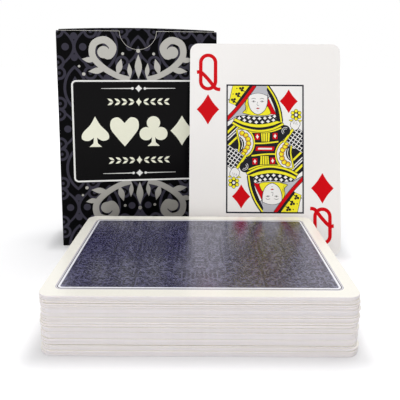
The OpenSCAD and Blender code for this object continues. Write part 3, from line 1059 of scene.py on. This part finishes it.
# corner indices: a rank's sign is rings, by half width, half height and middle, and then strokes
index_x, index_y, index_stroke = -23.9, 32.0, 1.5
index_pip = (index_x, 16.3)
glyphs = {
    "ace": ([], [[(-3.0, -7.8), (0, 7.5)], [(0, 7.5), (3.0, -7.8)], [(-2.0, -2.8), (2.0, -2.8)]]),
    "two": ([], [[(-3.0, 3.8), (-2.3, 6.2), (0, 7.05), (2.5, 6.0), (3.0, 3.4), (0.6, -1.4), (-3.0, -6.8)],
                 [(-3.7, -7.05), (3.5, -7.05)]]),
    "three": ([], [[(-3.1, 5.2), (-1.4, 6.9), (1.6, 6.8), (3.0, 4.2), (1.8, 1.2), (-0.6, 0.6)],
                   [(-0.6, 0.6), (2.2, -0.4), (3.1, -3.4), (1.8, -6.4), (-1.2, -7.0), (-3.2, -5.0)]]),
    "four": ([], [[(1.5, -7.8), (1.5, 7.8)], [(1.7, 7.6), (-3.2, -2.6)], [(-3.7, -3.2), (3.7, -3.2)]]),
    "five": ([], [[(3.1, 7.05), (-2.6, 7.05)], [(-2.5, 7.6), (-2.7, 0.4)],
                  [(-2.7, 0.9), (0.2, 1.9), (2.7, 0.2), (3.1, -3.2), (1.5, -6.6), (-1.4, -7.0),
                   (-3.2, -5.2)]]),
    "six": ([(3.85, 4.6, 0, -3.2)], [[(2.9, 5.4), (0.6, 7.05), (-1.9, 5.2), (-3.0, 0.8), (-3.1, -3.0)]]),
    "seven": ([], [[(-3.5, 7.05), (3.5, 7.05)], [(2.9, 7.0), (-1.2, -7.8)]]),
    "eight": ([(3.4, 4.2, 0, 3.6), (3.85, 4.6, 0, -3.2)], []),
    "ten": ([(2.7, 7.8, 1.4, 0)], [[(-3.3, -7.8), (-3.3, 7.8)]]),
    "jack": ([], [[(2.2, 7.8), (2.2, 0), (2.2, -3.6), (0.8, -6.5), (-1.4, -6.8), (-3.1, -4.4)],
                  [(-0.2, 7.05), (3.6, 7.05)]]),
    "queen": ([(3.85, 7.8, 0, 0)], [[(-4.7, -0.1), (-2.7, -0.3), (0.5, -3.6), (3.1, -6.8), (5.1, -7.3)]]),
    "king": ([], [[(-2.9, -7.8), (-2.9, 7.8)], [(3.3, 7.6), (-2.7, -1.0)], [(-1.0, 1.4), (3.4, -7.8)]])}


def rank_sign(rank, ink):
    """A rank's sign in both corners, in rings and strokes of one width. A nine is a turned six."""
    turn = 180 if rank == "nine" else 0
    rings, lines = glyphs["six" if turn else rank]
    sign = [(colour, placed(rounded(half_w - inset, half_h - inset, half_w - inset), x, y))
            for half_w, half_h, x, y in rings for inset, colour in ((0, ink), (index_stroke, "white"))]
    sign += [(ink, band(flow(*line) if len(line) > 2 else line, index_stroke)) for line in lines]
    return both_ends([(colour, placed(shape, index_x, index_y, turn)) for colour, shape in sign])


def face_frame(node, back_way, long_way):
    """The matrix from a card's face, with X across, Y up and Z out of it, to where the card is."""
    turn = Matrix(((0, 1, 0, 0), (1, 0, 0, 0), (0, 0, -1, -card_t / 2 * MM), (0, 0, 0, 1)))
    return card_frame(node, back_way, long_way) @ turn


def on_face(face):
    """Puts places on a card's face, in millimetres, where the card is."""
    return lambda u, v, depth: face @ (Vector((u, v, -depth)) * MM) / MM


face_print += rank_sign("queen", "red") + both_ends([("red", diamond(*index_pip, 4.7, 6.35))])
ink_layer("court_print", leaning_card, "card_plastic", face_print, card_inks,
          on_face(face_frame(leaning_card, *leaning)), ink_rise, ink_sink)


# The faces of the cards in the pile: large corner indices, and the suit's pips in their usual rows.
# A jack, queen or king has a cap or crown over a lozenge band, and a joker a cap with bells. The
# inks are thinner than the air between two cards.
sign_rise, pip_rise, thin_sink = 0.003, 0.005, 0.006
pip_h, pip_column, pip_row, ace_size, index_size = 9.5, 9.0, 27.0, 2.4, 1.2
court_pip = (11.2, 21.2, 0.75)
sash_inset, sash_half, sash_pitch, sash_side = 1.5, 3.2, 3.1, 4
brim_y, brim_pitch, brim_side = 8.2, 2.4, 2
star_radii, star_points = (4.4, 1.8), 5
suit_inks = {"spades": "black", "diamonds": "red", "clubs": "black", "hearts": "red"}
side_rows = {4: (1, -1), 5: (1, -1), 6: (1, 0, -1), 7: (1, 0, -1), 8: (1, 0, -1),
             9: (1, 1 / 3, -1 / 3, -1), 10: (1, 1 / 3, -1 / 3, -1)}
middle_rows = {1: (0,), 2: (1, -1), 3: (1, 0, -1), 5: (0,), 7: (0.5,), 8: (0.5, -0.5), 9: (0,),
               10: (2 / 3, -2 / 3)}
numbers = "ace two three four five six seven eight nine ten".split()
# the ink and the outline of each cap or crown, and what tips it
caps = {
    "jack": ("red", [(-6.5, 7), (6.5, 7), (7.6, 10.5), (4, 13.5), (-4, 13.5), (-7.6, 10.5)],
             [leaf((1.5, 13.0), (6.5, 20.0), 2.4), leaf((0.5, 13.0), (1.5, 21.0), 2.2)]),
    "queen": ("yellow", [(-6.5, 7), (6.5, 7), (7.4, 13.5), (4.6, 11), (3.6, 16), (1.6, 11.5), (0, 17.5),
                         (-1.6, 11.5), (-3.6, 16), (-4.6, 11), (-7.4, 13.5)],
              [disc(x, y, 0.9) for x, y in ((-7.4, 14.2), (-3.6, 16.8), (0, 18.3), (3.6, 16.8),
                                            (7.4, 14.2))]),
    "king": ("yellow", [(-6.5, 7), (6.5, 7), (7, 16), (3.4, 11.5), (0, 19), (-3.4, 11.5), (-7, 16)],
             [diamond(x, y, 1.1, 1.6) for x, y in ((-7, 17), (0, 20.2), (7, 17))]),
    "joker": ("red", [(-5, 7), (5, 7), (9, 13), (4, 12), (0, 18.5), (-4, 12), (-9, 13)],
              [disc(x, y, 1.3) for x, y in ((-9.4, 13.8), (0, 19.6), (9.4, 13.8))])}


def pip_rows_tree():
    """A suit's pip stamped on every point of a card, at the size and turn that the point carries."""
    tree, given, result = geometry_tree("pip_rows", {
        "Points": "NodeSocketGeometry", "Stamp": "NodeSocketObject", "Ink": "NodeSocketMaterial"})
    turn, size = (add(tree, "GeometryNodeInputNamedAttribute", {"Name": name}, data_type="FLOAT").outputs[0]
                  for name in ("turn", "size"))
    points = add(tree, "GeometryNodeMeshToPoints", {"Mesh": given["Points"]})
    stamp = add(tree, "GeometryNodeObjectInfo", {"Object": given["Stamp"]})
    stamped = add(tree, "GeometryNodeInstanceOnPoints", {
        "Points": points.outputs[0], "Instance": stamp.outputs["Geometry"],
        "Rotation": add(tree, "ShaderNodeCombineXYZ", {"Z": turn}).outputs[0],
        "Scale": add(tree, "ShaderNodeCombineXYZ", {"X": size, "Y": size, "Z": 1.0}).outputs[0]})
    solid = add(tree, "GeometryNodeRealizeInstances", {0: stamped.outputs[0]})
    inked = add(tree, "GeometryNodeSetMaterial", {"Geometry": solid.outputs[0], "Material": given["Ink"]})
    tree.links.new(inked.outputs[0], result[0])
    return tree


def pip_points(rank):
    """Where a rank's pips are on the face, with the size of each. Those below the middle are turned."""
    count = numbers.index(rank) + 1 if rank in numbers else 0
    middle_size = ace_size if rank == "ace" else 1
    places = [(side * pip_column, row * pip_row, 1) for row in side_rows.get(count, ()) for side in (-1, 1)]
    places += [(0, row * pip_row, middle_size) for row in middle_rows.get(count, ())]
    corners = [(*index_pip, index_size)] + ([] if count else [court_pip])
    places += corners + [(-x, -y, size) for x, y, size in corners]
    points = bpy.data.meshes.new("pip_points")
    points.from_pydata([(x * MM, y * MM, 0) for x, y, _ in places], [], [])
    turns, sizes = [pi if y < 0 else 0 for _, y, _ in places], [size for _, _, size in places]
    for name, values in (("turn", turns), ("size", sizes)):
        points.attributes.new(name, "FLOAT", "POINT").data.foreach_set("value", values)
    return points


def cap_print(rank, ink):
    """The two-way emblem of a court card or a joker, in the thin frame."""
    face_print.clear()
    corners = rectangle(frame_x - frame_line / 2, frame_y - frame_line / 2)
    sides = zip(corners, corners[1:] + corners[:1])
    face_print.extend(("navy", band([a, b], frame_line)) for a, b in sides)
    draw(ink, rectangle(frame_x - sash_inset, sash_half))
    for i in range(-sash_side, sash_side + 1):
        draw("yellow", diamond(sash_pitch * i, 0, 1.2, 2.2))
    colour, outline, tips = caps[rank]
    for tip in tips:
        draw("gold", tip, contour)
    draw(colour, outline, contour)
    draw("black", placed(rectangle(6.2, 1.1), 0, brim_y))
    for i in range(-brim_side, brim_side + 1):
        draw("white", disc(brim_pitch * i, brim_y, 0.6))
    return list(face_print)


pip_tree = pip_rows_tree()
stamps = {}
for suit, ink in suit_inks.items():
    pip = [(ink, placed(part, size=pip_h)) for part in suit_pip(suit)]
    stamps[suit] = ink_sheet(f"stamp_{suit}", pip, card_inks, lambda u, v, depth: (u, v, -depth), pip_rise,
                             thin_sink)
star_turns = [radians(180 / star_points * i) for i in range(2 * star_points)]
star = [(r * sin(turn), r * cos(turn)) for r, turn in zip(star_radii * star_points, star_turns)]
for node in pile:
    rank, _, suit = node.partition("_of_")
    face = face_frame(node, *lying)
    if suit:
        ink = suit_inks[suit]
        signs = rank_sign(rank, ink) + (cap_print(rank, ink) if rank in caps else [])
        pips = grown(f"pips_{node}", pip_tree, {"Stamp": stamps[suit], "Ink": card_inks[ink]},
                     pip_points(rank))
        pips.transform(face)
        pip_print = set_out(f"pips_{node}", pips)
        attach(pip_print, node)
    else:
        ink = "red" if node.startswith("first") else "black"
        signs = both_ends([(ink, placed(star, index_x, index_y))]) + cap_print("joker", ink)
    ink_layer(f"sign_{node}", node, "card_plastic", signs, card_inks, on_face(face), sign_rise, thin_sink)
for stamp in stamps.values():
    bpy.data.objects.remove(stamp)


# The deck's overall size, as the solids have it and as it is dressed, is worked out last.
size = {"cad": [list(corner) for corner in cad_bounds],
        "visual": [list(corner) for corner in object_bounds()]}
